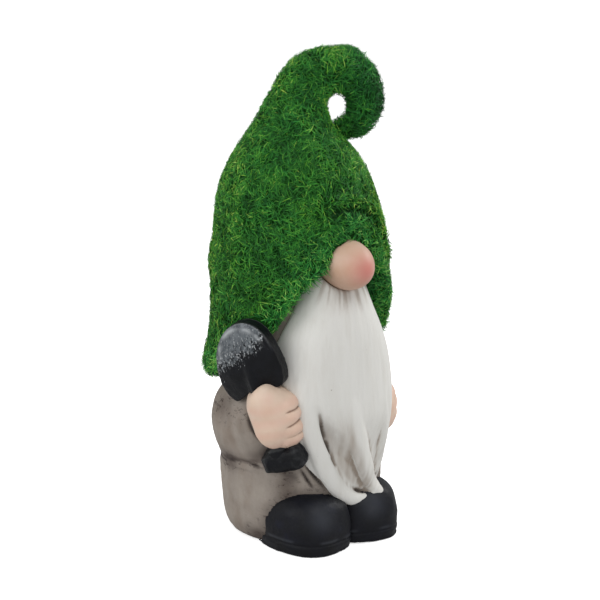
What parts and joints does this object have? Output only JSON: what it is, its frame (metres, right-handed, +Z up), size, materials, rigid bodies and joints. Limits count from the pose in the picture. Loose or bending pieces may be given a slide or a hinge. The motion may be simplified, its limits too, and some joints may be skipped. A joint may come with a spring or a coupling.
{
  "type": "garden gnome",
  "caption": "Standing garden gnome figure with a tall curled grass-flocked hat, long beard, round nose, dark boots and a small shovel in one hand.",
  "frame": {"origin": "centre of the coat's round base, on the ground", "axes": "+Z up, -Y is the way the figure faces, +X towards the figure's own left"},
  "size_m": [0.1272, 0.126, 0.2999],
  "materials": {
    "grass_flock": "matte",
    "hat_casting": "matte",
    "wire_steel": "satin",
    "nose_paint": "satin",
    "coat_paint": "matte",
    "beard_paint": "matte",
    "pin_steel": "satin",
    "base_casting": "matte",
    "plug_rubber": "matte",
    "boot_paint": "satin",
    "skin_paint": "matte",
    "shovel_paint": "satin",
    "shaft_steel": "satin"
  },
  "bodies": {
    "figure": {"hat_turf": "grass_flock", "hat_shell": "hat_casting", "curl_wire": "wire_steel", "nose": "nose_paint", "body_shell": "coat_paint", "beard": "beard_paint", "beard_pins": "pin_steel", "base_plate": "base_casting", "right_boot": "boot_paint", "left_boot": "boot_paint", "boot_pins": "pin_steel", "right_hand": "skin_paint", "left_hand": "skin_paint", "shovel_shaft": "shaft_steel", "shovel_blade": "shovel_paint", "shovel_grip": "shovel_paint"},
    "plug": {"fill_plug": "plug_rubber"}
  },
  "joints": [
    {"name": "plug_pull", "type": "slide", "parent": "figure", "child": "plug", "axis": [0, 0, -1], "range_m": [0, 0.02]}
  ]
}
